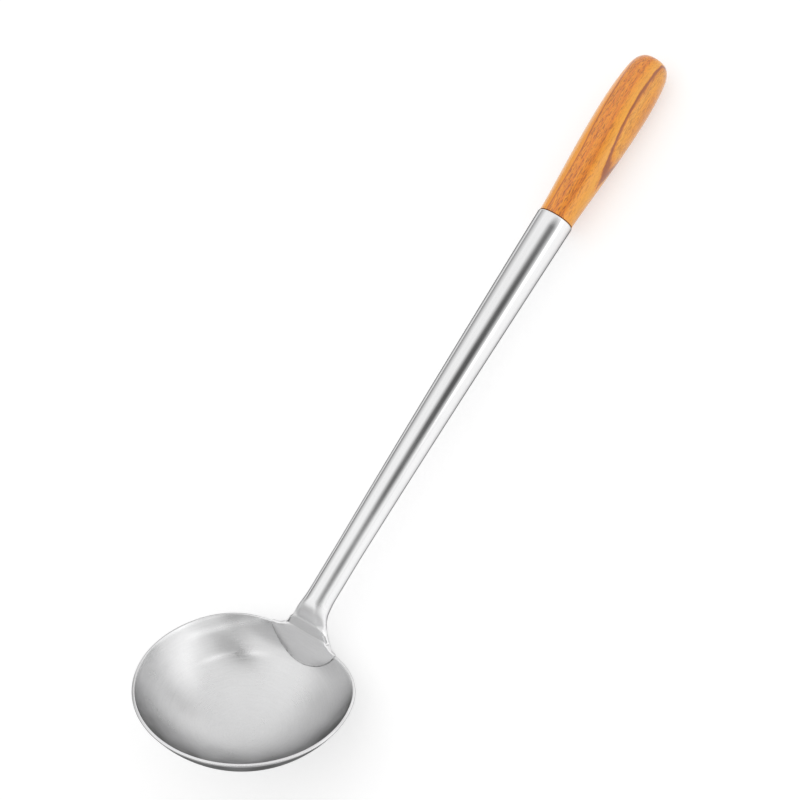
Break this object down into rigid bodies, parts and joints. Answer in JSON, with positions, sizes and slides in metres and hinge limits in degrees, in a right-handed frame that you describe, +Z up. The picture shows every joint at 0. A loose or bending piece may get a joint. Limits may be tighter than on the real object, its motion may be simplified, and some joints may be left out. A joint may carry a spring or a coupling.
{
  "type": "wok ladle",
  "caption": "Wok ladle: round stamped steel bowl on a tapered steel tube handle pressed into a welded tongue, with a turned wooden grip.",
  "frame": {"origin": "on the surface the ladle lies on, under the middle of its length and width", "axes": "+X along the handle from the bowl to the grip's butt, +Y across it, +Z up from the surface"},
  "size_m": [0.4706, 0.1212, 0.0773],
  "materials": {
    "bowl_steel": "spun satin steel, fine circular brushing inside, polished rim edge",
    "tube_steel": "bright drawn steel tube, faintly brushed along its length",
    "weld_steel": "ground weld bead, duller than the sheet",
    "grip_wood": "golden brown lacquered hardwood, satin gloss, dark pores and streaks along the grain",
    "pin_steel": "bright steel pin head"
  },
  "bodies": {
    "root": {"bowl": "bowl_steel", "handle_tube": "tube_steel", "tongue_weld": "weld_steel", "neck_weld": "weld_steel", "grip": "grip_wood", "grip_pin": "pin_steel"}
  },
  "joints": []
}
